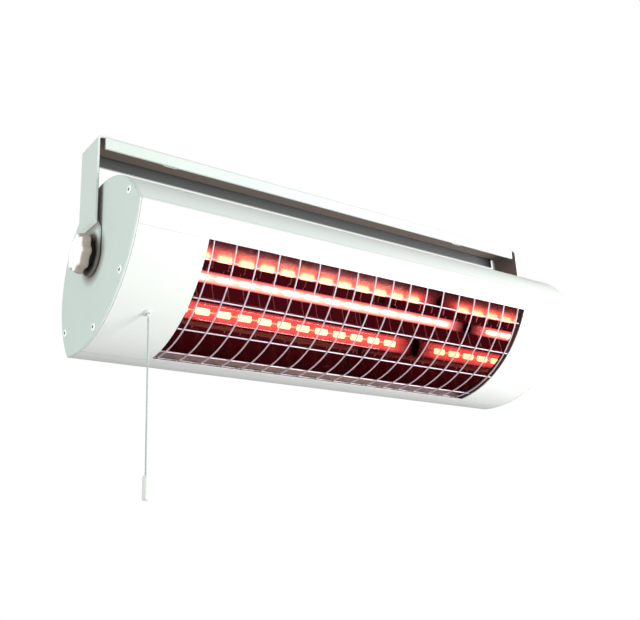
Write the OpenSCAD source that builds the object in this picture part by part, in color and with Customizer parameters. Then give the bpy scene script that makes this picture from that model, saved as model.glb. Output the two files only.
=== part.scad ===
// Radiant bathroom wall heater: one quartz lamp in a mirror trough behind a
// wire guard, in a curved aluminium head that tilts between the two arms of a
// steel channel bracket. A pull cord works the switch in the head's left end.
//
// Frame: origin in the middle of the bracket's fixing face, +Z up, X along
// the head, the window faces -Y and down. The head's own section is drawn
// with "s" forward from the centre of the front arc and "v" upward.

/* [Bracket] */
// Drop from the fixing face to the tilt axis
drop = 103; // [100:0.5:120]
// Width of the channel and of its arms, front to back
bar_w = 35; // [34:1:38]
// Depth of the channel's lips
lip_h = 12; // [9:0.5:12]
// Steel thickness of the bracket
sheet = 2; // [1.5:0.1:2.2]
// Spacing of the two fixing slots
slot_pitch = 360; // [200:10:420]
// Width of a fixing slot
slot_w = 6.5; // [5:0.5:8]
// End to end length of a fixing slot
slot_l = 16; // [12:1:24]

/* [Head] */
// Length over both end caps
head_l = 500; // [480:2:560]
// Radius of the front arc
front_r = 123.5; // [122:0.5:126]
// Radius of the rear curve
rear_r = 82.5; // [81.5:0.5:83.5]
// Wall thickness of the extruded shell
wall = 2; // [1.6:0.1:2.2]
// Thickness of an end cap's face
cap_t = 2.2; // [2:0.1:3]
// Angle of the window below the horizontal as stored
tilt = 56.5; // [40:0.5:80]

/* [Window] */
// Left edge of the window
win_x0 = -186.8; // [-190:0.1:-180]
// Right edge of the window
win_x1 = 182.3; // [180:0.1:186]
// Height of the window's upper edge above the axis
win_top = 66.7; // [66:0.1:68]
// Depth of the window's lower edge below the axis
win_bot = 57.9; // [57:0.1:59]

/* [Guard] */
// Diameter of the guard's wires
wire_d = 1.2; // [1.2:0.1:1.6]
// Number of curved wires across the window
wires_n = 18; // [12:1:20]
// Pitch of the curved wires
wire_pitch = 20.95; // [18:0.01:20.95]

/* [Lamp] */
// Outer diameter of the quartz tube
tube_d = 11; // [9:0.5:12]
// Number of filament segments
seg_n = 13; // [9:1:13]
// Pitch of the filament segments
seg_pitch = 24.4; // [18:0.1:24.4]

/* [Pull cord] */
// Diameter of the pull cord
cord_d = 1.4; // [1:0.1:2]
// Travel of the pull switch
pull_travel = 8; // [5:0.5:8]

/* [Hidden] */
$fn = 96;

hl = head_l / 2;
sp = 57.8;              // s of the tilt axis on the section's axis
sb = 85;                // s of the rear curve's centre
arm_o = hl + 6.3;       // outer face of an arm
tab_o = hl + 3;         // outer face of the tab at the pivot
wire_r = wire_d / 2;
guard_r = front_r - 18.6; // centre line of the curved wires
guard_s = 19;           // s of its centre
lamp_s = 54.8;
lamp_v = -1;
sw_x = -217.6;          // centre of the pull switch
tie_s = 126.8;          // s of the cord's swivel

// ---------- helpers ----------
// Head frame: tilt axis at the origin, y = sp - s, z = v.
module head() translate([0, 0, -drop]) rotate([tilt, 0, 0]) children();
// Extrude a drawing in (y, z) along X.
module along(x0, x1) translate([x0, 0, 0]) rotate([90, 0, 90])
    linear_extrude(x1 - x0) children();
// Put a shape whose axis is Z at a place on the section, axis along s.
module radial(x, s, v) translate([x, sp - s, v]) rotate([90, 0, 0]) children();
module front2d(o) translate([sp, 0]) circle(r = front_r - o, $fn = 160);
module rear2d(o) translate([sp - sb, 0]) circle(r = rear_r - o, $fn = 160);
module section2d(o) intersection() { front2d(o); rear2d(o); }
function sv(p) = [sp - p[0], p[1]];
module poly_sv(pts) polygon([for (p = pts) sv(p)]);
// Disc with one rounded rim, rim at the far end of Z.
module puck(r, t, e) rotate_extrude($fn = 160) {
    square([r - e, t]);
    square([r, t - e]);
    intersection() {
        translate([r - e, t - e]) circle(r = e, $fn = 32);
        translate([r - e, t - e]) square([e, e]);
    }
}
module rod_x(x0, x1, r) translate([x0, 0, 0]) rotate([0, 90, 0])
    cylinder(r = r, h = x1 - x0);

// ---------- bracket ----------
module slot_cut(x) translate([x, 0, -10]) {
    for (k = [-1, 1]) translate([k * (slot_l - slot_w) / 2, 0, 0])
        cylinder(d = slot_w, h = 20, $fn = 48);
    translate([-(slot_l - slot_w) / 2, -slot_w / 2, 0])
        cube([slot_l - slot_w, slot_w, 20]);
}
// Front view of one arm, in (x, z), for the right hand end.
module arm2d() {
    bend = 4;
    jz = -77.3;
    // bend from the web into the arm
    intersection() {
        translate([arm_o - bend, -bend]) difference() {
            circle(r = bend, $fn = 48);
            circle(r = bend - sheet, $fn = 48);
        }
        translate([arm_o - bend, -bend]) square([bend, bend]);
    }
    translate([hl - 0.5, -sheet]) square([arm_o - bend - hl + 0.5, sheet]);
    translate([arm_o - sheet, jz]) square([sheet, -jz - bend]);
    polygon([[arm_o, jz], [arm_o - sheet, jz], [tab_o - sheet, jz - 6.6],
        [tab_o - sheet, jz - 8], [tab_o, jz - 8], [tab_o, jz - 6.6]]);
}
module arm() difference() {
    union() {
        translate([0, bar_w / 2, 0]) rotate([90, 0, 0])
            linear_extrude(bar_w) arm2d();
        translate([tab_o - sheet, 0, 0]) {
            translate([0, -bar_w / 2, -drop]) cube([sheet, bar_w, drop - 84.5]);
            translate([0, 0, -drop]) rotate([0, 90, 0])
                cylinder(r = bar_w / 2, h = sheet);
        }
    }
    translate([hl - 5, 0, -drop]) rotate([0, 90, 0])
        cylinder(r = 3.4, h = 20, $fn = 48);
}
module channel2d() {
    b = 3;
    w = bar_w / 2;
    for (k = [0, 1]) mirror([k, 0]) {
        intersection() {
            translate([w - b, -b]) difference() {
                circle(r = b, $fn = 48);
                circle(r = b - sheet, $fn = 48);
            }
            translate([w - b, -b]) square([b, b]);
        }
        translate([0, -sheet]) square([w - b, sheet]);
        translate([w - sheet, -lip_h]) square([sheet, lip_h - b]);
    }
}
module wall_bracket() color("whitesmoke") difference() {
    union() {
        along(-hl + 0.5, hl - 0.5) channel2d();
        // tongue that joins the channel's web to both arms
        translate([-hl - 2, -bar_w / 2 + 4, -sheet])
            cube([2 * hl + 4, bar_w - 8, sheet]);
        arm();
        mirror([1, 0, 0]) arm();
    }
    slot_cut(-slot_pitch / 2);
    slot_cut(slot_pitch / 2);
}

// ---------- end caps ----------
screw_at = [[70, 74.5], [70, -74.5], [114, 29.2], [114, -29.2]];
// Left hand cap, outer face towards -X. The right hand one mirrors it.
module cap_body() difference() {
    union() {
        intersection() {
            translate([-hl + cap_t, sp, 0]) rotate([0, -90, 0])
                puck(front_r, cap_t, 1.2);
            translate([-hl + cap_t, sp - sb, 0]) rotate([0, -90, 0])
                puck(rear_r, cap_t, 1.2);
        }
        // locating skirt round the back of the shell
        intersection() {
            along(-hl + cap_t - 0.5, -hl + 12) difference() {
                section2d(wall + 0.5);
                section2d(wall + 2.5);
            }
            translate([-hl, sp - 64, -100]) cube([20, 80, 200]);
        }
        // boss for the pivot insert
        rod_x(-hl + cap_t - 0.5, -hl + 14, 9);
    }
    rod_x(-hl - 1, -hl + 16, 3.4);
    rod_x(-hl + cap_t, -hl + 15, 5.5);
    rod_x(-hl - 1, -hl + 0.8, 12.4);
    for (p = screw_at) translate([0, sp - p[0], p[1]]) {
        rod_x(-hl - 1, -hl + 10, 1.8);
        translate([-hl - 0.01, 0, 0]) rotate([0, 90, 0])
            cylinder(r1 = 3.85, r2 = 1.7, h = 1.3, $fn = 48);
    }
}
module end_cap_left() color("gainsboro") head() cap_body();
module end_cap_right() color("gainsboro") head() mirror([1, 0, 0]) cap_body();
// Raised countersunk screw with a cross recess.
module cap_screw() difference() {
    union() {
        translate([-hl - 0.65, 0, 0]) rotate([0, 90, 0])
            cylinder(r1 = 2.7, r2 = 3.45, h = 0.45, $fn = 48);
        translate([-hl - 0.21, 0, 0]) rotate([0, 90, 0])
            cylinder(r = 3.45, h = 0.25, $fn = 48);
        translate([-hl + 0.03, 0, 0]) rotate([0, 90, 0])
            cylinder(r1 = 3.45, r2 = 1.45, h = 1.25, $fn = 48);
        rod_x(-hl, -hl + 22, 1.45);
    }
    rotate([35, 0, 0]) for (a = [0, 90]) rotate([a, 0, 0])
        translate([-hl - 1, -1.9, -0.5]) cube([1.75, 3.8, 1]);
    translate([-hl - 1, 0, 0]) rotate([0, 90, 0])
        cylinder(r = 1.05, h = 2.3, $fn = 48);
}
module cap_screws() for (p = screw_at)
    translate([0, sp - p[0], p[1]]) cap_screw();
module cap_screws_left() color("white") head() cap_screws();
module cap_screws_right() color("white") head() mirror([1, 0, 0]) cap_screws();
module end_seals() color("silver") head() for (k = [0, 1]) mirror([k, 0, 0])
    along(-hl + cap_t + 0.02, -hl + cap_t + 0.32) difference() {
        section2d(0.5);
        section2d(1.9);
    }

// ---------- shell and front ----------
in_x = hl - cap_t - 0.34;   // half length of the shell
// Curved back, with the four posts for the end cap screws.
module rear_shell() color("whitesmoke") head() difference() {
    union() {
        along(-in_x, in_x) intersection() {
            difference() { rear2d(0); rear2d(wall); }
            front2d(wall + 0.1);
        }
        for (k = [-1, 1]) along(-in_x, in_x) difference() {
            translate([sp - 70, k * 74.5]) circle(r = 5.2, $fn = 48);
            translate([sp - 70, k * 74.5]) circle(r = 1.55, $fn = 32);
        }
    }
    // cable gland
    radial(-215, 20, 0) translate([0, 0, -30]) cylinder(r = 8.1, h = 40);
}
// Strip beside the front panel, from its edge at v0 to the corner, with a
// tongue that tucks under the back. Drawn for the upper side.
module rail2d(v0) {
    intersection() {
        difference() { front2d(0); front2d(wall); }
        rear2d(0);
        translate([sp - 125, v0]) square([60, 40]);
    }
    intersection() {
        difference() { rear2d(wall + 0.1); rear2d(wall + 1.3); }
        front2d(wall - 0.2);
        translate([sp - 125, 60]) square([125 - 77, 40]);
    }
}
module upper_rail() color("white") head()
    along(-in_x, in_x) rail2d(win_top + 0.15);
module lower_rail() color("white") head() {
    along(-in_x, in_x) mirror([0, 1]) rail2d(61.4);
    // channel that the guard's ends stand in
    along(-in_x, in_x) poly_sv([[97, -57.8], [103.6, -57.8], [103.6, -59],
        [98.2, -59], [98.2, -67.5], [102.6, -67.5], [101.9, -68.7],
        [97, -68.7]]);
}
module front_panel() color("white") head() difference() {
    union() {
        along(-in_x, in_x) intersection() {
            difference() { front2d(0); front2d(1.2); }
            translate([sp - 125, -60.8]) square([35, 60.8 + win_top - 0.15]);
        }
        // returns down both sides of the window
        for (x = [win_x0 - 1.2, win_x1]) along(x, x + 1.2) intersection() {
            difference() { front2d(1); front2d(7); }
            translate([sp - 125, -56]) square([35, 120]);
        }
        // posts for the end caps' front screws
        for (k = [-1, 1], x = [-in_x, in_x - 20]) translate([x, 0, 0])
            translate([0, sp - 114, k * 29.2]) rod_x(0, 20, 4.9);
    }
    // window, open to the shell's upper strip
    along(win_x0, win_x1) translate([sp - 126, -win_bot])
        square([40, win_bot + win_top + 5]);
    for (k = [-1, 1], x = [-hl, hl - 30]) translate([x, sp - 114, k * 29.2])
        rod_x(0, 30, 1.55);
    radial(sw_x, 124, 0) translate([0, 0, -10]) cylinder(r = 2.8, h = 20, $fn = 48);
}

// ---------- guard ----------
guard_v = [65.3, 52.2, 20.6, -11.8, -45.4, -60.7];
function on_arc(r, v) = sqrt(r * r - v * v);
// Curved wires, from behind the upper strip to the lower channel.
module guard_ribs() color("silver") head()
    for (i = [0 : wires_n - 1])
        translate([(win_x0 + 6.1) + i * wire_pitch, sp - guard_s, 0.25])
            rotate([0, -90, 0]) rotate([0, 0, -126.7])
            rotate_extrude(angle = 78.3, $fn = 160)
            translate([guard_r, 0]) circle(r = wire_r, $fn = 16);
module guard_rails() color("silver") head()
    for (v = guard_v) translate([0, sp - guard_s - on_arc(guard_r - 1, v - 0.25), v])
        rod_x(win_x0 + 1.2, win_x1 - 1.2, wire_r, $fn = 16);

// ---------- reflector and lamp ----------
// Curve with two ends a and c and one control point b.
function bend3(a, b, c, n) = [for (i = [0 : n]) let (t = i / n)
    (1 - t) * (1 - t) * a + 2 * t * (1 - t) * b + t * t * c];
// Mirror section: lip, upper wall, ridge behind the lamp, lower wall, lip.
trough = concat([[97, 66], [66.4, 62], [21.7, 29]],
    bend3([21.7, 22.5], [22.76, 10.1], [25.5, -0.7], 8),
    [[21.7, -19.4], [20.3, -29.5]],
    bend3([36, -40.2], [44.5, -46.4], [54.3, -52.2], 8),
    [for (i = [1 : 8]) bend3([54.3, -52.2], [75.6, -56.1], [97, -57.4], 8)[i]]);
function unit(p) = p / norm(p);
// Point i pushed out of the trough by t.
function pushed(i, t) = let (n = len(trough) - 1,
    d1 = unit(trough[min(i + 1, n)] - trough[min(i, n - 1)]),
    d0 = unit(trough[max(i, 1)] - trough[max(i - 1, 0)]),
    m = unit(d0 + d1), k = t / (m * d1))
    trough[i] + k * [m[1], -m[0]];
module reflector() color("lightgray") head()
    along(win_x0 - 0.3, win_x1 + 0.6) poly_sv(concat(trough,
        [for (i = [len(trough) - 1 : -1 : 0]) pushed(i, -0.7)]));
module bulkhead(x) difference() {
    along(x, x + 0.8) difference() {
        intersection() { front2d(8.8); rear2d(wall + 1.7); }
        for (k = [-1, 1]) translate([sp - 70, k * 74.5]) circle(r = 5.6, $fn = 48);
        poly_sv([[96, -56.6], [125, -56.6], [125, -90], [96, -90]]);
    }
    // lamp, lead and earth stud
    translate([0, sp - lamp_s, lamp_v]) rod_x(x - 1, x + 2, 6.6);
    translate([0, sp - 16.3, 20]) rod_x(x - 1, x + 2, 2.6);
    translate([0, sp - 84, 71]) rod_x(x - 1, x + 2, 2.05);
}
module reflector_end_left() color("lightgray") head() bulkhead(win_x0 - 1.2);
module reflector_end_right() color("lightgray") head() bulkhead(win_x1 + 0.7);
module heat_shield() color("darkgray") head()
    along(win_x0 - 0.2, win_x1 + 0.5) intersection() {
        difference() { rear2d(5); rear2d(5.6); }
        translate([sp - 62, -100]) square([100, 200]);
    }
module lamp_axis() translate([0, sp - lamp_s, lamp_v]) children();
module lamp_tube() color("mistyrose") head() lamp_axis() difference() {
    rod_x(-213, 209, tube_d / 2);
    rod_x(-214, 210, tube_d / 2 - 1.1);
}
module lamp_filament() color("orange") head() lamp_axis() {
    for (i = [0 : seg_n - 1]) translate([-149 + i * seg_pitch, 0, 0])
        rod_x(-8.5, 8.5, 2.2, $fn = 32);
    rod_x(-211, 207, 0.5, $fn = 16);
}
module base2d() intersection() {
    circle(r = 8, $fn = 48);
    square([16, 11], center = true);
}
module lamp_bases() color("ivory") head() lamp_axis() {
    difference() {
        translate([-233.5, 0, 0]) rotate([90, 0, 90]) linear_extrude(26) base2d();
        rod_x(-213.05, -200, tube_d / 2 + 0.05);
    }
    difference() {
        translate([203.5, 0, 0]) rotate([90, 0, 90]) linear_extrude(30) base2d();
        rod_x(200, 209.05, tube_d / 2 + 0.05);
    }
}
// Saddle that holds a lamp base, standing off a reflector end.
module saddle(x0, x1, xs) difference() {
    union() {
        translate([x0, 0, 0]) rotate([90, 0, 90])
            linear_extrude(x1 - x0) circle(r = 11, $fn = 48);
        translate([min(x0, xs), 8.6, -4]) cube([max(x1, xs) - min(x0, xs), 2.2, 8]);
    }
    translate([x0 - 1, 0, 0]) rotate([90, 0, 90]) linear_extrude(x1 - x0 + 2)
        intersection() {
            circle(r = 8.05, $fn = 48);
            square([16.1, 11.1], center = true);
        }
}
module lamp_holder_left() color("tan") head() lamp_axis()
    saddle(-229, -222, win_x0 - 1.25);
module lamp_holder_right() color("tan") head() lamp_axis()
    saddle(222, 229, win_x1 + 1.55);

// ---------- pivots and knobs ----------
module pivot_inserts() color("goldenrod") head() for (k = [0, 1])
    mirror([k, 0, 0]) difference() {
        rod_x(-hl + cap_t + 0.05, -hl + 14, 5.45);
        rod_x(-hl, -hl + 20, 3.06);
    }
module friction_washers() color("dimgray") head() for (k = [0, 1])
    mirror([k, 0, 0]) difference() {
        rod_x(-hl - 0.95, -hl + 0.78, 12);
        rod_x(-hl - 3, -hl + 3, 3.5);
    }
// Thick rubber washers between the arms and the knobs.
module clamp_washers() color("darkslategray") pivot() for (k = [0, 1])
    mirror([k, 0, 0]) difference() {
        rod_x(-hl - 7.2, -tab_o - 0.05, 12.4);
        rod_x(-hl - 8, -hl, 3.5);
    }
lobes = 8;
module lobed2d(o) {
    circle(r = 15 - o, $fn = 64);
    for (i = [0 : lobes - 1]) rotate(i * 360 / lobes + 10)
        translate([13, 0]) circle(r = 4.2 - o, $fn = 32);
}
// A slice of the grip, drawn smaller by o.
module slice(x0, x1, o) translate([x0, 0, 0]) rotate([90, 0, 90])
    linear_extrude(x1 - x0) lobed2d(o);
// Left hand knob, narrowing away from the head.
module knob_body() difference() {
    union() {
        slice(-hl - 7.8, -hl - 7.3, 0.5);
        slice(-hl - 11, -hl - 7.75, 0);
        slice(-hl - 13.5, -hl - 10.9, 0.7);
        slice(-hl - 15.4, -hl - 13.4, 1.4);
        slice(-hl - 16.1, -hl - 15.3, 1.9);
    }
    rod_x(-hl - 14, -hl + 1, 3.02);
    // shallow dish in the outer face
    rod_x(-hl - 17, -hl - 15.6, 8.5);
}
module knob_stud_body() rod_x(-hl - 13.9, -hl + 13.5, 3);
module pivot() translate([0, 0, -drop]) children();
module knob_left() color("snow") pivot() knob_body();
module knob_right() color("snow") pivot() mirror([1, 0, 0]) knob_body();
module knob_stud_left() color("silver") pivot() knob_stud_body();
module knob_stud_right() color("silver") pivot() mirror([1, 0, 0]) knob_stud_body();

// ---------- wiring ----------
module terminal_block() color("beige") head() difference() {
    translate([-236, sp - 50, 34]) cube([34, 16, 16]);
    for (i = [0 : 2]) translate([-230.3 + i * 11.3, sp - 42, 42]) {
        translate([0, 0, 2]) cylinder(r = 2.6, h = 10, $fn = 32);
        rotate([90, 0, 0]) translate([0, 0, -10]) cylinder(r = 1.6, h = 20, $fn = 32);
    }
}
module terminal_screws() color("silver") head() for (i = [0 : 2])
    translate([-230.3 + i * 11.3, sp - 42, 44.05]) difference() {
        cylinder(r = 2.5, h = 5, $fn = 32);
        translate([-3, -0.4, 4]) cube([6, 0.8, 2]);
    }
module seg(a, b, r) {
    d = b - a;
    l = norm(d);
    translate(a) rotate([0, acos(d[2] / l), atan2(d[1], d[0])])
        cylinder(r = r, h = l, $fn = 24);
}
function hp(x, s, v) = [x, sp - s, v];
// A run of insulated lead with a ferrule at each turn.
module lead(pts, r) {
    for (i = [0 : len(pts) - 2]) seg(pts[i], pts[i + 1], r);
    for (i = [1 : len(pts) - 2]) translate(pts[i]) sphere(r = r + 0.15, $fn = 32);
}
module internal_leads() color("indianred") head() {
    // from the left lamp base forward and up to the terminals
    lead([hp(-231.5, 46.6, -1), hp(-231.5, 36, -1), hp(-230.3, 28, 30),
        hp(-230.3, 30, 42), hp(-230.3, 35, 42)], 1.2);
    // from the right lamp base round behind the reflector
    lead([hp(231.5, 46.6, -1), hp(231.5, 30, -1), hp(205, 16.3, 20),
        hp(-198, 16.3, 20), hp(-219, 24, 36), hp(-219, 30, 42),
        hp(-219, 35, 42)], 1.2);
    // from the terminals to the switch
    lead([hp(-207.7, 49, 42), hp(-207.7, 60, 42), hp(-209, 78, 20),
        hp(-213, 86, 3), hp(-214, 91.9, 3)], 1.2);
}
module earth_stud() color("goldenrod") head()
    translate([win_x0 - 9, sp - 84, 71]) {
        rod_x(0, 10.5, 2, $fn = 32);
        translate([4.6, 0, 0]) rotate([0, 90, 0]) cylinder(r = 3.6, h = 3.1, $fn = 6);
    }
module cable_gland() color("lightgray") head() radial(-215, 0, 0) difference() {
    union() {
        translate([0, 0, -9]) cylinder(r = 9, h = 7, $fn = 64);
        translate([0, 0, -2.2]) cylinder(r = 11, h = 4.5, $fn = 64);
        translate([0, 0, 2]) cylinder(r = 8, h = 12, $fn = 64);
    }
    translate([0, 0, -20]) cylinder(r = 3.5, h = 40, $fn = 48);
}
module gland_nut() color("lightgray") head() radial(-215, 0, 0) difference() {
    translate([0, 0, 5.8]) cylinder(r = 12, h = 4.5, $fn = 6);
    translate([0, 0, 0]) cylinder(r = 8.05, h = 20, $fn = 64);
}

// ---------- pull switch ----------
module pull_switch() color("ivory") head() radial(sw_x, 0, 0) difference() {
    union() {
        translate([0, 0, 92]) cylinder(r = 8.5, h = 26);
        translate([0, 0, 117]) cylinder(r = 11, h = 4.4);
    }
    translate([0, 0, 94]) cylinder(r = 5, h = 40);
}
module cord_bushing() color("white") head() radial(sw_x, 0, 0) difference() {
    union() {
        translate([0, 0, 118.5]) cylinder(r = 2.7, h = 6, $fn = 48);
        translate([0, 0, 123.55]) cylinder(r = 3.3, h = 0.5, $fn = 48);
        translate([0, 0, 124.04]) cylinder(r1 = 3.3, r2 = 2.4, h = 0.8, $fn = 48);
    }
    translate([0, 0, 110]) cylinder(r = 1.45, h = 20, $fn = 48);
}
module switch_plunger() color("ivory") head() radial(sw_x, 0, 0) {
    translate([0, 0, 97]) cylinder(r = 4.6, h = 12, $fn = 64);
    translate([0, 0, 108.5]) cylinder(r = 1.1, h = tie_s - 108.5, $fn = 32);
    translate([0, 0, tie_s]) sphere(r = 1.3, $fn = 32);
}
// Swivel of the cord, on the tilt-independent vertical through the eye.
tie = [sw_x, -(tie_s - sp) * cos(tilt), -drop - (tie_s - sp) * sin(tilt)];
// Route of the cord below the eye, hanging straight down.
route = [[0, 0, -1.8], [0, 0, -30], [0, 0, -60], [0, 0, -90], [0, 0, -127]];
rings = 36;
function at(t) = let (n = len(route) - 1, i = min(floor(t * n), n - 1), u = t * n - i)
    route[i] * (1 - u) + route[i + 1] * u;
module pull_cord() color("lightgray") translate(tie) {
    pts = [for (k = [0 : rings], a = [0 : 7])
        at(k / rings) + cord_d / 2 * [cos(a * 45), sin(a * 45), 0]];
    faces = concat(
        [[for (a = [0 : 7]) a]],
        [for (k = [0 : rings - 1], a = [0 : 7]) [k * 8 + a, (k + 1) * 8 + a,
            (k + 1) * 8 + (a + 1) % 8, k * 8 + (a + 1) % 8]],
        [[for (a = [7 : -1 : 0]) rings * 8 + a]]);
    polyhedron(pts, faces, convexity = 4);
}
module cord_pull() color("white") translate(tie) rotate_extrude($fn = 48)
    polygon([[0, -127.05], [1.3, -127.05], [1.3, -125.6], [1.9, -125.2],
        [2.3, -127], [2.4, -130], [2.5, -141], [2.35, -142.4], [1.9, -143.1],
        [0, -143.1]]);

wall_bracket();
end_cap_left();
end_cap_right();
cap_screws_left();
cap_screws_right();
end_seals();
rear_shell();
upper_rail();
lower_rail();
front_panel();
guard_ribs();
guard_rails();
reflector();
reflector_end_left();
reflector_end_right();
heat_shield();
lamp_tube();
lamp_filament();
lamp_bases();
lamp_holder_left();
lamp_holder_right();
pivot_inserts();
friction_washers();
clamp_washers();
knob_left();
knob_right();
knob_stud_left();
knob_stud_right();
terminal_block();
terminal_screws();
internal_leads();
earth_stud();
cable_gland();
gland_nut();
pull_switch();
switch_plunger();
cord_bushing();
pull_cord();
cord_pull();
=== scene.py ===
import math
import bpy
import bmesh
from mathutils import Matrix, Vector


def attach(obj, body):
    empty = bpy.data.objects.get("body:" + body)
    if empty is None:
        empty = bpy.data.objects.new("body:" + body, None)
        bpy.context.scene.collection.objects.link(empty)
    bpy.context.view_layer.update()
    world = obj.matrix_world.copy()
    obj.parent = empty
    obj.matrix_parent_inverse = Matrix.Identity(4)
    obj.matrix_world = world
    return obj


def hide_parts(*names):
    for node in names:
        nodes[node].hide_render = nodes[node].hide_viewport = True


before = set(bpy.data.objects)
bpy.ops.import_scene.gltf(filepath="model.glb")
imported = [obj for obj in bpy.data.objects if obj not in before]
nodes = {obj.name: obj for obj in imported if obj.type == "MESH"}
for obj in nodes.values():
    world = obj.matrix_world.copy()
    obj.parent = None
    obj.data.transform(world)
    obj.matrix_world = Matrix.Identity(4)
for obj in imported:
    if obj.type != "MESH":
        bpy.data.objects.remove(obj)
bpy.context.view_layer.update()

scene = bpy.context.scene

# ------------------------------------------------------------------ numbers
MM = 0.001
DROP = 103.0          # fixing face to tilt axis, mm
SP = 57.8             # s of the tilt axis
TILT = math.radians(56.5)
CT, ST = math.cos(TILT), math.sin(TILT)
HL = 250.0            # half length over the end caps
FRONT_R = 123.5
LAMP_S, LAMP_V = 54.8, -1.0
LIT0, PITCH, SEGS, SEG_L, SEG_R = -149.0, 24.4, 13, 17.0, 2.2


def P(x, s, v):
    """A point of the head, from X, s (forward) and v (up) in mm, in the row frame in metres."""
    y, z = SP - s, v
    return Vector((x, y * CT - z * ST, y * ST + z * CT - DROP)) * MM


# ------------------------------------------------------------------ camera
def make_camera():
    yaw, pitch, roll = (math.radians(a) for a in (36.89, 18.44, -2.72))
    f = Vector((math.sin(yaw) * math.cos(pitch), math.cos(yaw) * math.cos(pitch), math.sin(pitch)))
    r = Vector((math.cos(yaw), -math.sin(yaw), 0))
    d = f.cross(r)
    c, s = math.cos(roll), math.sin(roll)
    right = r * c - d * s
    down = r * s + d * c
    m = Matrix((right, -down, -f)).transposed().to_4x4()
    m.translation = Vector((-501.6, -641.5, -380.5)) * MM
    data = bpy.data.cameras.new("camera")
    data.sensor_width = 36
    data.sensor_fit = "HORIZONTAL"
    data.lens = 875.56 / 640 * 36
    data.clip_start, data.clip_end = 0.02, 50
    cam = bpy.data.objects.new("camera", data)
    cam.matrix_world = m
    scene.collection.objects.link(cam)
    scene.camera = cam
    return cam


camera = make_camera()


# ------------------------------------------------------------------ node helpers
class Mat:
    """A small builder for procedural materials."""

    def __init__(self, name):
        self.m = bpy.data.materials.new(name)
        self.m.use_nodes = True
        self.t = self.m.node_tree
        self.t.nodes.clear()
        self.out = self.n("ShaderNodeOutputMaterial")
        self.b = self.n("ShaderNodeBsdfPrincipled")
        self.link(self.b, 0, self.out, "Surface")

    def n(self, kind, **props):
        node = self.t.nodes.new(kind)
        for k, v in props.items():
            setattr(node, k, v)
        return node

    def link(self, a, ao, b, bi):
        self.t.links.new(a.outputs[ao], b.inputs[bi])

    def set(self, **values):
        for k, v in values.items():
            self.b.inputs[k.replace("_", " ")].default_value = v
        return self

    def coords(self, scale=1.0):
        tc = self.n("ShaderNodeTexCoord")
        mp = self.n("ShaderNodeMapping")
        mp.inputs["Scale"].default_value = (scale, scale, scale) if not hasattr(scale, "__len__") else scale
        self.link(tc, "Object", mp, "Vector")
        return mp

    def noise(self, scale, detail=3, rough=0.5, stretch=1.0):
        mp = self.coords(stretch)
        nz = self.n("ShaderNodeTexNoise")
        nz.inputs["Scale"].default_value = scale
        nz.inputs["Detail"].default_value = detail
        nz.inputs["Roughness"].default_value = rough
        self.link(mp, 0, nz, "Vector")
        return nz

    def ramp(self, src, out, stops, mode="LINEAR"):
        r = self.n("ShaderNodeValToRGB")
        e = r.color_ramp.elements
        r.color_ramp.interpolation = mode
        while len(e) < len(stops):
            e.new(0.5)
        for el, (p, c) in zip(e, stops):
            el.position = p
            el.color = (*c, 1) if hasattr(c, "__len__") else (c, c, c, 1)
        self.link(src, out, r, "Fac")
        return r

    def bump(self, src, out, strength, distance, prev=None):
        b = self.n("ShaderNodeBump")
        b.inputs["Strength"].default_value = strength
        b.inputs["Distance"].default_value = distance
        self.link(src, out, b, "Height")
        if prev is not None:
            self.link(prev, "Normal", b, "Normal")
        self.link(b, "Normal", self.b, "Normal")
        return b

    def math(self, op, a, b=None, c=None):
        m = self.n("ShaderNodeMath", operation=op)
        for i, v in enumerate((a, b, c)):
            if v is None:
                continue
            if isinstance(v, tuple):
                self.link(v[0], v[1], m, i)
            else:
                m.inputs[i].default_value = v
        return m

    def xyz(self):
        """Object coordinates, split, in metres."""
        tc = self.n("ShaderNodeTexCoord")
        sx = self.n("ShaderNodeSeparateXYZ")
        self.link(tc, "Object", sx, 0)
        return sx

    def head_xsv(self):
        """X, s and v of the head in metres, each as (node, output)."""
        sx = self.xyz()
        z = self.math("ADD", (sx, 2), DROP * MM)
        a = self.math("ADD", (self.math("MULTIPLY", (sx, 1), CT), 0), (self.math("MULTIPLY", (z, 0), ST), 0))
        s = self.math("SUBTRACT", SP * MM, (a, 0))
        v = self.math("SUBTRACT", (self.math("MULTIPLY", (z, 0), CT), 0), (self.math("MULTIPLY", (sx, 1), ST), 0))
        return (sx, 0), (s, 0), (v, 0)

    def step(self, src, edge, soft, rising=True):
        """0 to 1 as src passes edge (1 to 0 when not rising)."""
        r = self.n("ShaderNodeMapRange")
        r.inputs["From Min"].default_value = edge - soft
        r.inputs["From Max"].default_value = edge + soft
        r.inputs["To Min"].default_value = 0.0 if rising else 1.0
        r.inputs["To Max"].default_value = 1.0 if rising else 0.0
        self.link(src[0], src[1], r, "Value")
        return (r, 0)

    def both(self, *masks):
        """The product of several masks."""
        m = masks[0]
        for k in masks[1:]:
            m = (self.math("MULTIPLY", m, k), 0)
        return m

    def mix(self, mask, a, b):
        """Colour a where the mask is 0 and b where it is 1; each a colour or (node, output)."""
        x = self.n("ShaderNodeMix", data_type="RGBA")
        self.link(mask[0], mask[1], x, 0)
        for k, v in ((6, a), (7, b)):
            if len(v) == 2:
                self.link(v[0], v[1], x, k)
            else:
                x.inputs[k].default_value = (*v, 1)
        return (x, 2)


def lin(r, g, b):
    """sRGB 0-255 to linear."""
    out = []
    for v in (r, g, b):
        v = v / 255
        out.append(v / 12.92 if v <= 0.04045 else ((v + 0.055) / 1.055) ** 2.4)
    return tuple(out)


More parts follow.
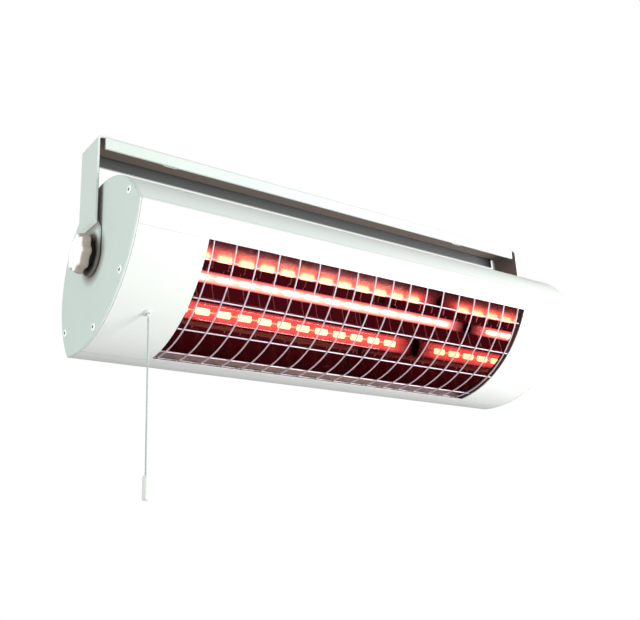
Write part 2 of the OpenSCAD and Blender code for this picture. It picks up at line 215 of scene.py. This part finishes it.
def coat_base(name, low, high, rough=0.42, peel=0.035, grain=0.06):
    """A powder or spray coat: faint cloudiness in the colour and orange peel in the surface.
    Gives the builder and the colour as (node, output), not yet linked."""
    m = Mat(name)
    cloud = m.noise(14, 4, 0.55)
    r = m.ramp(cloud, "Fac", [(0.3, low), (0.7, high)])
    fine = m.noise(420, 3, 0.6)
    rr = m.ramp(fine, "Fac", [(0.25, rough - grain), (0.75, rough + grain)])
    m.link(rr, "Color", m.b, "Roughness")
    p1 = m.noise(900, 2, 0.5)
    m.bump(p1, "Fac", peel, 0.0006)
    m.set(Specular_IOR_Level=0.5)
    return m, (r, 0)


def coat(name, low, high, **kw):
    m, c = coat_base(name, low, high, **kw)
    m.link(c[0], c[1], m.b, "Base Color")
    return m.m


def metal(name, low, high, rough, spread=0.06, stretch=(1, 1, 1), scale=200, bump=0.02, metallic=1.0):
    m = Mat(name)
    nz = m.noise(scale, 4, 0.6, stretch)
    r = m.ramp(nz, "Fac", [(0.3, low), (0.7, high)])
    m.link(r, "Color", m.b, "Base Color")
    rr = m.ramp(nz, "Fac", [(0.25, max(0.02, rough - spread)), (0.75, rough + spread)])
    m.link(rr, "Color", m.b, "Roughness")
    m.set(Metallic=metallic)
    if bump:
        m.bump(nz, "Fac", bump, 0.0004)
    return m.m


def assign(mat, *names):
    for n in names:
        o = nodes[n]
        o.data.materials.clear()
        o.data.materials.append(mat)


# ------------------------------------------------------------------ materials
WHITE0, WHITE1 = lin(236, 243, 238), lin(242, 247, 243)


def shell_material():
    """Coated outside, bare and darker inside."""
    m, c = coat_base("shell_coat", WHITE0, WHITE1, rough=0.45)
    x, s, v = m.head_xsv()
    ss = m.math("SUBTRACT", s, 0.085)
    r = m.math("SQRT", (m.math("ADD", (m.math("MULTIPLY", (ss, 0), (ss, 0)), 0), (m.math("MULTIPLY", v, v), 0)), 0))
    inside = m.step((r, 0), 0.0815, 0.0002, rising=False)
    c = m.mix(inside, c, (0.30, 0.30, 0.29))
    m.link(c[0], c[1], m.b, "Base Color")
    return m.m


def front_material(name):
    """Coated outside, with painted shade on the inner side and in the window's returns."""
    m, c = coat_base(name, lin(240, 243, 240), lin(245, 247, 244), rough=0.4)
    x, s, v = m.head_xsv()
    r = m.math("SQRT", (m.math("ADD", (m.math("MULTIPLY", s, s), 0), (m.math("MULTIPLY", v, v), 0)), 0))
    inside = m.step((r, 0), FRONT_R * MM - 0.0009, 0.0002, rising=False)
    # painted shade: the inner side is coloured near black
    c = m.mix(inside, c, (0.032, 0.038, 0.042))
    m.link(c[0], c[1], m.b, "Base Color")
    return m.m


def rail_material():
    """The strips: coated; painted shade, beige-grey, in the guard's channel in the lower one."""
    m, c = coat_base("rail_coat", lin(238, 242, 239), lin(244, 247, 244), rough=0.42)
    x, s, v = m.head_xsv()
    r = m.math("SQRT", (m.math("ADD", (m.math("MULTIPLY", s, s), 0), (m.math("MULTIPLY", v, v), 0)), 0))
    inside = m.step((r, 0), FRONT_R * MM - 0.00185, 0.0001, rising=False)
    # painted shade: the channel's inner surfaces are coloured beige-grey
    c = m.mix(inside, c, (0.24, 0.205, 0.195))
    m.link(c[0], c[1], m.b, "Base Color")
    return m.m


def bracket_material():
    """White coat outside; painted shade inside the channel, on the arms' inner faces and round the pivot on the tabs.
    """
    m, c = coat_base("bracket_coat", lin(230, 240, 234), lin(235, 244, 239), rough=0.48)
    sx = m.xyz()
    ax = (m.math("ABSOLUTE", (sx, 0)), 0)
    ay = (m.math("ABSOLUTE", (sx, 1)), 0)
    z = (sx, 2)
    # painted shade inside the channel: brown-grey under the web, and on the back lip's inner face darkening towards
    # the web
    web = m.both(m.step(ay, 0.01560, 0.00012, rising=False),
                 m.step(z, -0.00190, 0.0001, rising=False), m.step(ax, 0.2502, 0.0002, rising=False))
    back = m.step((sx, 1), 0.0145, 0.0008)
    deep = m.ramp(*(m.n("ShaderNodeMapRange"), 0), [(0.0, (0.115, 0.11, 0.115)), (1.0, (0.010, 0.017, 0.019))])
    mr = deep.inputs["Fac"].links[0].from_node
    mr.inputs["From Min"].default_value = -0.012
    mr.inputs["From Max"].default_value = -0.003
    m.link(z[0], z[1], mr, "Value")
    inner = m.mix(back, (0.265, 0.20, 0.175), (deep, 0))
    # painted shade on the arms' inner faces and in the corners where they meet the web
    arm = m.both(m.step(ax, 0.2546, 0.0002, rising=False), m.step(ax, 0.2496, 0.0002),
                 m.step(z, -0.0035, 0.0006, rising=False), m.step((sx, 1), 0.0150, 0.0012, rising=False),
                 m.step(z, -0.0830, 0.004))
    corner = m.both(m.step(ax, 0.2546, 0.0002, rising=False), m.step(ax, 0.2500, 0.0002),
                    m.step(z, -0.0019, 0.0001, rising=False), m.step(z, -0.0060, 0.0006),
                    m.step(ay, 0.0156, 0.0001, rising=False))
    c = m.mix(corner, c, (0.20, 0.135, 0.125))
    c = m.mix(web, c, inner)
    c = m.mix(arm, c, (0.20, 0.135, 0.125))
    # painted shade round the pivot on the tabs' outer faces, darkest just outside the knob
    zz = m.math("ADD", z, DROP * MM)
    rp = m.math("SQRT", (m.math("ADD", (m.math("MULTIPLY", (sx, 1), (sx, 1)), 0),
                                (m.math("MULTIPLY", (zz, 0), (zz, 0)), 0)), 0))
    outer = m.step(ax, 0.2508, 0.0001)
    c = m.mix(m.both(m.step((rp, 0), 0.0190, 0.0018, rising=False), outer), c, (0.20, 0.175, 0.155))
    c = m.mix(m.both(m.step((rp, 0), 0.0156, 0.0016, rising=False), outer), c, (0.075, 0.08, 0.07))
    m.link(c[0], c[1], m.b, "Base Color")
    return m.m


def cap_material():
    """The coat of the end caps, with painted shade round the pivot."""
    m, c = coat_base("cap_coat", lin(226, 238, 232), lin(231, 242, 237), rough=0.5, peel=0.05)
    sx = m.xyz()
    zz = m.math("ADD", (sx, 2), DROP * MM)
    rp = m.math("SQRT", (m.math("ADD", (m.math("MULTIPLY", (sx, 1), (sx, 1)), 0),
                                (m.math("MULTIPLY", (zz, 0), (zz, 0)), 0)), 0))
    # painted shade: darker brown round the pivot, fading out between about 17 and 27 mm
    c = m.mix(m.step((rp, 0), 0.0220, 0.0048, rising=False), c, (0.29, 0.27, 0.22))
    m.link(c[0], c[1], m.b, "Base Color")
    return m.m


def screw_material():
    """White coated heads with painted shade in the cross recess."""
    m, c = coat_base("screw_coat", lin(240, 242, 240), lin(246, 247, 245), rough=0.32, peel=0.02)
    x, s, v = m.head_xsv()
    av = (m.math("ABSOLUTE", v), 0)

    def far(s0, v0):
        a = m.math("SUBTRACT", s, s0 * MM)
        b = m.math("SUBTRACT", av, v0 * MM)
        q = m.math("ADD", (m.math("MULTIPLY", (a, 0), (a, 0)), 0), (m.math("MULTIPLY", (b, 0), (b, 0)), 0))
        return (m.math("SQRT", (q, 0)), 0)
    near = (m.math("MINIMUM", far(70, 74.5), far(114, 29.2)), 0)
    ax = (m.math("ABSOLUTE", x), 0)
    # painted shade: the cross recess is coloured near black
    recess = m.both(m.step(near, 0.00208, 0.00012, rising=False), m.step(ax, 0.25048, 0.00008, rising=False))
    c = m.mix(recess, c, (0.03, 0.034, 0.036))
    m.link(c[0], c[1], m.b, "Base Color")
    return m.m


def knob_material():
    """Glossy white moulding with painted shade on the grip's side."""
    m, c = coat_base("knob_plastic", lin(249, 249, 247), lin(253, 252, 250), rough=0.3, peel=0.015)
    ax = (m.math("ABSOLUTE", (m.xyz(), 0)), 0)
    # painted shade: the grip's side is coloured beige-brown, the outer face stays white
    side = m.step(ax, 0.2648, 0.0009, rising=False)
    c = m.mix(side, c, (0.42, 0.355, 0.30))
    m.link(c[0], c[1], m.b, "Base Color")
    return m.m


def mirror_material():
    """Polished sheet; the curve of the trough behind the lamp is brushed and duller, with a painted reflection tint
    on its upper part.
    """
    m = Mat("mirror_sheet")
    roll = m.noise(260, 3, 0.6, (0.03, 1, 1))
    r = m.ramp(roll, "Fac", [(0.3, (0.60, 0.40, 0.37)), (0.7, (0.65, 0.43, 0.40))])
    x, s, v = m.head_xsv()
    upper = m.both(m.step(v, -0.0006, 0.0002), m.step(v, 0.0232, 0.0003, rising=False), m.step(s, 0.0262, 0.0003, rising=False))
    fine = m.ramp(roll, "Fac", [(0.2, 0.008), (0.8, 0.022)])
    streak = m.noise(420, 3, 0.6, (1, 0.04, 0.04))
    dull = m.ramp(streak, "Fac", [(0.3, 0.12), (0.7, 0.155)])
    # painted reflection: the upper part of the brushed curve gets a dark mauve tint that stands in for the dim
    # reddish reflection there
    high = m.both(upper, m.step(v, 0.0150, 0.0060))
    c = m.mix(high, (r, 0), (0.22, 0.13, 0.17))
    m.link(c[0], c[1], m.b, "Base Color")
    rough = m.mix(upper, (fine, 0), (dull, 0))
    m.link(rough[0], rough[1], m.b, "Roughness")
    m.set(Metallic=1.0)
    wave = m.noise(9, 2, 0.5)
    m.bump(wave, "Fac", 0.02, 0.004)
    return m.m


def plate_material():
    """The polished end plates, flat and a little brighter than the trough."""
    m = Mat("mirror_plate")
    roll = m.noise(260, 3, 0.6, (1, 0.03, 1))
    r = m.ramp(roll, "Fac", [(0.3, (0.86, 0.74, 0.70)), (0.7, (0.91, 0.79, 0.75))])
    m.link(r, "Color", m.b, "Base Color")
    rr = m.ramp(roll, "Fac", [(0.2, 0.008), (0.8, 0.02)])
    m.link(rr, "Color", m.b, "Roughness")
    m.set(Metallic=1.0)
    geo = m.n("ShaderNodeNewGeometry")
    m.link(geo, "True Normal", m.b, "Normal")
    return m.m


def glow(name, color, strength):
    m = Mat(name)
    nz = m.noise(500, 2, 0.5)
    r = m.ramp(nz, "Fac", [(0.3, tuple(c * 0.93 for c in color)), (0.7, color)])
    m.link(r, "Color", m.b, "Emission Color")
    m.link(r, "Color", m.b, "Base Color")
    m.set(Emission_Strength=strength, Roughness=0.6)
    return m.m


def quartz_material():
    """Quartz with painted glow on its wall over the lit length, standing in for the filament's light in the tube;
    brightest on the side that faces the window.
    """
    m = Mat("quartz_glow")
    m.t.nodes.remove(m.b)
    tr = m.n("ShaderNodeBsdfTransparent")
    tr.inputs["Color"].default_value = (0.97, 0.92, 0.90, 1)
    gl = m.n("ShaderNodeBsdfGlossy")
    gl.inputs["Roughness"].default_value = 0.06
    gl.inputs["Color"].default_value = (0.5, 0.44, 0.44, 1)
    fr = m.n("ShaderNodeFresnel")
    fr.inputs["IOR"].default_value = 1.45
    mix = m.n("ShaderNodeMixShader")
    # no mirror where a ray leaves the wall, as it isn't bent on its way in
    geo = m.n("ShaderNodeNewGeometry")
    front = m.math("SUBTRACT", 1.0, (geo, "Backfacing"))
    m.link(m.math("MULTIPLY", (fr, 0), (front, 0)), 0, mix, 0)
    m.link(tr, 0, mix, 1)
    m.link(gl, 0, mix, 2)
    # painted glow: lit length along X, brighter round each coil
    x, s, v = m.head_xsv()
    ab = (m.math("ABSOLUTE", (m.math("ADD", x, 0.0026), 0)), 0)
    lit = m.step(ab, 0.1655, 0.0100, rising=False)
    core = m.step(ab, 0.1560, 0.0040, rising=False)
    ph = m.math("DIVIDE", (m.math("SUBTRACT", x, LIT0 * MM), 0), PITCH * MM)
    cell = m.math("SUBTRACT", (m.math("FRACT", (m.math("ADD", (ph, 0), 0.5), 0)), 0), 0.5)
    coil = m.step((m.math("ABSOLUTE", (cell, 0)), 0), 0.37, 0.09, rising=False)
    # the wall's outer surface, and how squarely it faces the window
    ds = m.math("SUBTRACT", s, LAMP_S * MM)
    dv = m.math("SUBTRACT", v, LAMP_V * MM)
    rad = m.math("SQRT", (m.math("ADD", (m.math("MULTIPLY", (ds, 0), (ds, 0)), 0),
                                 (m.math("MULTIPLY", (dv, 0), (dv, 0)), 0)), 0))
    toward = m.math("DIVIDE", (m.math("ADD", (m.math("MULTIPLY", (ds, 0), math.cos(math.radians(27))), 0),
                                      (m.math("MULTIPLY", (dv, 0), math.sin(math.radians(27))), 0)), 0), (rad, 0))
    outside = m.both(m.step((rad, 0), 0.0050, 0.0002), m.step((geo, "Backfacing"), 0.5, 0.1, rising=False))
    # painted glow: white on the outer wall's window side over the lit length
    painted_white_glow = m.both(outside, core, m.step((toward, 0), 0.79, 0.16), (m.math("MULTIPLY_ADD", coil, 0.2, 0.8), 0))
    level = m.math("MULTIPLY_ADD", coil, 0.15, 0.85)
    red = m.n("ShaderNodeEmission")
    red.inputs["Color"].default_value = (1.0, 0.16, 0.165, 1)
    st = m.math("MULTIPLY", (m.math("MULTIPLY", lit, (level, 0)), 0), 0.45)
    m.link(st, 0, red, "Strength")
    white = m.n("ShaderNodeEmission")
    white.inputs["Color"].default_value = (1.0, 0.68, 0.44, 1)
    wh = m.math("MULTIPLY", painted_white_glow, 0.95)
    m.link(wh, 0, white, "Strength")
    both = m.n("ShaderNodeAddShader")
    m.link(red, 0, both, 0)
    m.link(white, 0, both, 1)
    add = m.n("ShaderNodeAddShader")
    m.link(mix, 0, add, 0)
    m.link(both, 0, add, 1)
    m.link(add, 0, m.out, "Surface")
    return m.m


shell_mat = shell_material()
cap_mat = cap_material()
rail_mat = rail_material()
panel_mat = front_material("panel_coat")
bracket_mat = bracket_material()
screw_mat = screw_material()
white_mat = coat("white_plastic", lin(232, 234, 230), lin(238, 240, 236), rough=0.38)
grey_mat = coat("grey_plastic", lin(178, 180, 176), lin(186, 188, 184), rough=0.5)
knob_mat = knob_material()
wire_mat = metal("guard_wire", lin(226, 216, 230), lin(240, 232, 244), 0.32, 0.05, (1, 1, 1), 300, 0.01, metallic=0.2)
steel_mat = metal("zinc_steel", lin(172, 172, 170), lin(196, 196, 192), 0.35)
sheet_mat = metal("plain_sheet", lin(150, 150, 148), lin(176, 176, 172), 0.4, 0.08, (0.05, 1, 1), 300)
brass_mat = metal("brass", lin(176, 140, 70), lin(206, 170, 98), 0.3)
gasket_mat = coat("gasket", lin(120, 120, 114), lin(132, 132, 126), rough=0.8)
fibre_mat = coat("fibre", lin(44, 48, 46), lin(58, 62, 60), rough=0.75)
rubber_mat = coat("black_rubber", lin(22, 34, 35), lin(32, 44, 45), rough=0.6)
lead_mat = coat("lead_sleeve", lin(142, 62, 48), lin(164, 78, 60), rough=0.8)
ceramic_mat = coat("ceramic", lin(226, 218, 200), lin(236, 230, 214), rough=0.55)
cord_mat = coat("cord_fibre", lin(176, 186, 182), lin(196, 204, 200), rough=0.85)
mirror_mat = mirror_material()
filament_mat = glow("filament_glow", (1.0, 0.74, 0.46), 4.4)
lead_glow_mat = glow("lead_wire_glow", (1.0, 0.45, 0.25), 2.6)
quartz_mat = quartz_material()

assign(bracket_mat, "wall_bracket")
assign(shell_mat, "rear_shell")
assign(rail_mat, "upper_rail", "lower_rail")
assign(cap_mat, "end_cap_left", "end_cap_right")
assign(panel_mat, "front_panel")
assign(screw_mat, "cap_screws_left", "cap_screws_right")
assign(gasket_mat, "end_seals")
assign(wire_mat, "guard_ribs", "guard_rails")
assign(mirror_mat, "reflector")
assign(plate_material(), "reflector_end_left", "reflector_end_right")
assign(sheet_mat, "heat_shield")
assign(quartz_mat, "lamp_tube")
assign(filament_mat, "lamp_filament")
assign(ceramic_mat, "lamp_bases")
assign(steel_mat, "lamp_holder_left", "lamp_holder_right", "terminal_screws",
       "knob_stud_left", "knob_stud_right")
assign(brass_mat, "pivot_inserts", "earth_stud")
assign(fibre_mat, "friction_washers")
assign(rubber_mat, "clamp_washers")
assign(knob_mat, "knob_left", "knob_right")
assign(white_mat, "terminal_block", "pull_switch", "switch_plunger", "cord_bushing", "cord_pull")
assign(lead_mat, "internal_leads")
assign(grey_mat, "cable_gland", "gland_nut")
assign(cord_mat, "pull_cord")


# ------------------------------------------------------------------ mesh helpers
def new_piece(name, bm, *mats, sharp=None):
    """A mesh object from bmesh data; faces smooth, edges over `sharp` degrees kept crisp."""
    bmesh.ops.remove_doubles(bm, verts=bm.verts, dist=1e-7)
    bmesh.ops.recalc_face_normals(bm, faces=bm.faces)
    for f in bm.faces:
        f.smooth = True
    if sharp is not None:
        for e in bm.edges:
            if len(e.link_faces) == 2 and e.calc_face_angle(0) > math.radians(sharp):
                e.smooth = False
    me = bpy.data.meshes.new(name)
    bm.to_mesh(me)
    bm.free()
    for m in mats:
        me.materials.append(m)
    o = bpy.data.objects.new(name, me)
    scene.collection.objects.link(o)
    return o


def bend3(a, b, c, n):
    out = []
    for i in range(n + 1):
        t = i / n
        out.append(tuple((1 - t) ** 2 * a[k] + 2 * t * (1 - t) * b[k] + t * t * c[k] for k in (0, 1)))
    return out


# ------------------------------------------------------------------ reflector
def make_reflector():
    """The trough's mirror sheet with its curves drawn finely."""
    line = [(97, 66), (66.4, 62), (21.7, 29)]
    line += bend3((21.7, 22.5), (22.76, 10.1), (25.5, -0.7), 40)
    line += [(21.7, -19.4), (20.3, -29.5)]
    line += bend3((36, -40.2), (44.5, -46.4), (54.3, -52.2), 32)
    line += bend3((54.3, -52.2), (75.6, -56.1), (97, -57.4), 40)[1:]
    n = len(line) - 1
    back = []
    for i in range(n + 1):
        def unit(p, q):
            dx, dy = q[0] - p[0], q[1] - p[1]
            k = math.hypot(dx, dy)
            return dx / k, dy / k
        d1 = unit(line[min(i, n - 1)], line[min(i, n - 1) + 1])
        d0 = unit(line[max(i, 1) - 1], line[max(i, 1)])
        mx, my = d0[0] + d1[0], d0[1] + d1[1]
        k = math.hypot(mx, my)
        mx, my = mx / k, my / k
        w = -0.7 / (mx * d1[0] + my * d1[1])
        back.append((line[i][0] + w * my, line[i][1] - w * mx))
    ring = line + back[::-1]
    x0, x1 = -186.8 - 0.3, 182.3 + 0.6
    bm = bmesh.new()
    cols = []
    for x in (x0, x1):
        cols.append([bm.verts.new(P(x, *p)) for p in ring])
    m = len(ring)
    for i in range(m):
        j = (i + 1) % m
        bm.faces.new((cols[0][i], cols[0][j], cols[1][j], cols[1][i]))
    for c in cols:
        for i in range(n):
            bm.faces.new((c[i], c[i + 1], c[m - 2 - i], c[m - 1 - i]))
    o = new_piece("reflector_visual", bm, mirror_mat, sharp=6)
    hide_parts("reflector")
    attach(o, "head")
    return o


# ------------------------------------------------------------------ filament
def tube_along(bm, path, r, sides, mat=0, caps=True):
    """A round tube along a list of points (metres)."""
    rings = []
    n = len(path)
    up = Vector((0, 0, 1))
    for i, p in enumerate(path):
        t = (path[min(i + 1, n - 1)] - path[max(i - 1, 0)]).normalized()
        a = t.cross(up)
        if a.length < 1e-3:
            a = t.cross(Vector((0, 1, 0)))
        a.normalize()
        b = t.cross(a)
        rings.append([bm.verts.new(p + (a * math.cos(q) + b * math.sin(q)) * r)
                      for q in (2 * math.pi * k / sides for k in range(sides))])
    for i in range(n - 1):
        for k in range(sides):
            j = (k + 1) % sides
            f = bm.faces.new((rings[i][k], rings[i][j], rings[i + 1][j], rings[i + 1][k]))
            f.material_index = mat
    if caps:
        for ring in (rings[0][::-1], rings[-1]):
            bm.faces.new(ring).material_index = mat


def make_filament():
    """Thirteen wound coils with straight wire between them."""
    c = P(0, LAMP_S, LAMP_V)
    ey = Vector((0, CT, ST))
    ez = Vector((0, -ST, CT))
    wire, turns, steps = 0.36, 17, 12
    bm = bmesh.new()
    ends = []
    for i in range(SEGS):
        mid = LIT0 + i * PITCH
        path = []
        total = turns * steps
        half = SEG_L / 2 - wire
        for k in range(total + 1):
            t = k / total
            a = 2 * math.pi * turns * t
            grow = min(1.0, 16 * t, 16 * (1 - t))
            r = 0.1 + (SEG_R - wire - 0.1) * math.sin(grow * math.pi / 2)
            x = mid - half + 2 * half * t
            path.append(c + Vector((x * MM, 0, 0)) + (ey * math.cos(a) + ez * math.sin(a)) * r * MM)
        tube_along(bm, path, wire * MM, 6)
        ends.append((mid - half, mid + half))
    spans = [(-210.9, ends[0][0], 1)]
    spans += [(ends[i][1], ends[i + 1][0], 2) for i in range(SEGS - 1)]
    spans += [(ends[-1][1], 206.9, 1)]
    for a, b, mat in spans:
        tube_along(bm, [c + Vector(((a + (b - a) * t) * MM, 0, 0)) for t in (0, 0.5, 1)], 0.48 * MM, 10, mat)
    o = new_piece("lamp_filament_visual", bm, filament_mat, steel_mat, lead_glow_mat, sharp=50)
    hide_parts("lamp_filament")
    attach(o, "head")
    return o


# ------------------------------------------------------------------ knobs
def make_knob(side):
    """Lobed hand knob with rounded edges, a dished face and a small centre boss."""
    lobes, n = 8, 192

    def outline(a, o):
        best = 15 - o
        for i in range(lobes):
            al = a - math.radians(i * 360 / lobes + 10)
            al = (al + math.pi) % (2 * math.pi) - math.pi
            d = 13 * math.sin(al)
            if abs(al) < math.pi / 2 and abs(d) < 4.2 - o:
                best = max(best, 13 * math.cos(al) + math.sqrt((4.2 - o) ** 2 - d * d))
        return best

    def soft_outline(o):
        raw = [outline(2 * math.pi * k / n, o) for k in range(n)]
        for _ in range(3):
            raw = [0.25 * raw[k - 1] + 0.5 * raw[k] + 0.25 * raw[(k + 1) % n] for k in range(n)]
        return raw

    # (distance out from the head's end, how far the outline is drawn in)
    prof = [(7.35, 1.2), (7.42, 0.75), (7.65, 0.35), (8.1, 0.08), (8.8, 0.02), (10.4, 0.12), (11.8, 0.35),
            (13.0, 0.68), (14.0, 1.05), (14.8, 1.45), (15.35, 1.9), (15.75, 2.45), (15.98, 3.05), (16.05, 3.8)]
    bm = bmesh.new()
    sign = -1 if side == "left" else 1

    def pt(out, r, a):
        return Vector((sign * (HL + out), r * math.cos(a), r * math.sin(a) - DROP)) * MM
    rings = []
    for out, o in prof:
        rad = soft_outline(o)
        rings.append([bm.verts.new(pt(out, rad[k], 2 * math.pi * k / n)) for k in range(n)])
    # from the lobed rim to round, then the dish and the boss
    last = soft_outline(3.8)
    for out, r, w in ((16.08, 10.6, 0.5), (16.08, 9.2, 1), (16.0, 8.6, 1), (15.72, 8.1, 1), (15.62, 7.2, 1),
                      (15.6, 4.6, 1), (15.66, 4.3, 1), (15.9, 4.05, 1), (15.98, 3.7, 1), (15.98, 1.2, 1)):
        rings.append([bm.verts.new(pt(out, r * w + (last[k] - 0.9) * (1 - w), 2 * math.pi * k / n))
                      for k in range(n)])
    tip = bm.verts.new(pt(15.98, 0, 0))
    base = [bm.verts.new(pt(7.32, 3.1, 2 * math.pi * k / n)) for k in range(n)]
    for a, b in zip([base] + rings[:-1], rings):
        for k in range(n):
            j = (k + 1) % n
            bm.faces.new((a[k], a[j], b[j], b[k]))
    for k in range(n):
        bm.faces.new((rings[-1][k], rings[-1][(k + 1) % n], tip))
    # bore that the stud sits in
    deep = [bm.verts.new(pt(13.9, 3.1, 2 * math.pi * k / n)) for k in range(n)]
    floor_pt = bm.verts.new(pt(13.9, 0, 0))
    for k in range(n):
        j = (k + 1) % n
        bm.faces.new((base[j], base[k], deep[k], deep[j]))
        bm.faces.new((deep[j], deep[k], floor_pt))
    o = new_piece("knob_%s_visual" % side, bm, knob_mat, sharp=50)
    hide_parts("knob_" + side)
    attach(o, side + "_knob")
    return o


reflector_piece = make_reflector()
make_filament()
knob_pieces = [make_knob("left"), make_knob("right")]


# ------------------------------------------------------------------ pull cord
def make_cord():
    tie = P(-217.6, 126.8, 0)
    cu = bpy.data.curves.new("pull_cord_visual", "CURVE")
    cu.dimensions = "3D"
    cu.bevel_depth = 0.0007
    cu.bevel_resolution = 4
    cu.use_fill_caps = True
    sp = cu.splines.new("POLY")
    top, bottom, n = -1.8, -127.0, 24
    sp.points.add(n)
    for i in range(n + 1):
        z = top + (bottom - top) * i / n
        p = tie + Vector((0, 0, z * MM))
        sp.points[i].co = (*p, 1)
    o = bpy.data.objects.new("pull_cord_visual", cu)
    scene.collection.objects.link(o)
    o.data.materials.append(cord_mat)
    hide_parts("pull_cord")
    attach(o, "cord")
    return o


make_cord()


# ------------------------------------------------------------------ floor and light
def make_floor():
    bm = bmesh.new()
    bmesh.ops.create_grid(bm, x_segments=8, y_segments=8, size=4.0)
    me = bpy.data.meshes.new("floor")
    bm.to_mesh(me)
    bm.free()
    o = bpy.data.objects.new("floor", me)
    o.location = (0, 0, -1.25)
    scene.collection.objects.link(o)
    m = Mat("floor_mat")
    nz = m.noise(3, 2)
    r = m.ramp(nz, "Fac", [(0.3, 0.80), (0.7, 0.82)])
    m.link(r, "Color", m.b, "Base Color")
    m.set(Roughness=0.9)
    me.materials.append(m.m)
    o.visible_glossy = False


make_floor()


def area(name, loc, target, size, level, color=(1, 1, 1), dark_to=(), only=()):
    """A soft box that gives a white matt surface facing it, at the target, the brightness `level`."""
    d = bpy.data.lights.new(name, "AREA")
    d.shape = "RECTANGLE"
    d.size, d.size_y = size
    dist = (Vector(target) - Vector(loc)).length
    d.energy = level * math.pi ** 2 * dist ** 2
    d.color = color
    o = bpy.data.objects.new(name, d)
    o.location = loc
    o.rotation_mode = "QUATERNION"
    o.rotation_quaternion = (Vector(target) - Vector(loc)).to_track_quat("-Z", "Y")
    scene.collection.objects.link(o)
    if dark_to or only:
        c = bpy.data.collections.new(name + "_linked")
        for x in dark_to or only:
            c.objects.link(x)
        o.light_linking.receiver_collection = c
        for k in c.collection_objects:
            k.light_linking.link_state = "EXCLUDE" if dark_to else "INCLUDE"
    return o


mirrors = [reflector_piece, nodes["reflector_end_left"], nodes["reflector_end_right"]]
MID = (0, -0.03, -0.15)
area("key", (0.75, -0.95, -0.47), MID, (0.6, 0.5), 1.10, (1, 0.995, 0.985), mirrors)
area("left_fill", (-1.5, -0.25, -0.05), (-0.25, 0, -0.12), (1.0, 1.0), 0.52, (0.95, 1, 0.98), mirrors)
area("left_kick", (-1.0, -0.35, -0.2), (-0.26, 0, -0.1), (0.5, 0.5), 0.5, (1, 1, 1),
     only=knob_pieces + [nodes["cap_screws_left"], nodes["cap_screws_right"]])
area("right_top", (0.75, -0.5, 0.45), (0.22, 0, -0.06), (0.5, 0.5), 0.30, (0.97, 1, 0.98), mirrors)

world = bpy.data.worlds.new("studio")
scene.world = world
world.use_nodes = True
wt = world.node_tree
wt.nodes.clear()
wo = wt.nodes.new("ShaderNodeOutputWorld")


def background(color, strength):
    b = wt.nodes.new("ShaderNodeBackground")
    b.inputs["Color"].default_value = (*color, 1)
    b.inputs["Strength"].default_value = strength
    return b


seen = background((1, 1, 1), 1.0)
fill = background((0.93, 1.0, 0.97), 0.46)
dim = background((0.145, 0.018, 0.042), 1.0)
lp = wt.nodes.new("ShaderNodeLightPath")
mx0 = wt.nodes.new("ShaderNodeMixShader")
mx1 = wt.nodes.new("ShaderNodeMixShader")
wt.links.new(lp.outputs["Is Glossy Ray"], mx0.inputs[0])
wt.links.new(fill.outputs[0], mx0.inputs[1])
wt.links.new(dim.outputs[0], mx0.inputs[2])
wt.links.new(lp.outputs["Is Camera Ray"], mx1.inputs[0])
wt.links.new(mx0.outputs[0], mx1.inputs[1])
wt.links.new(seen.outputs[0], mx1.inputs[2])
wt.links.new(mx1.outputs[0], wo.inputs["Surface"])

scene.view_settings.view_transform = "Standard"
scene.view_settings.look = "None"
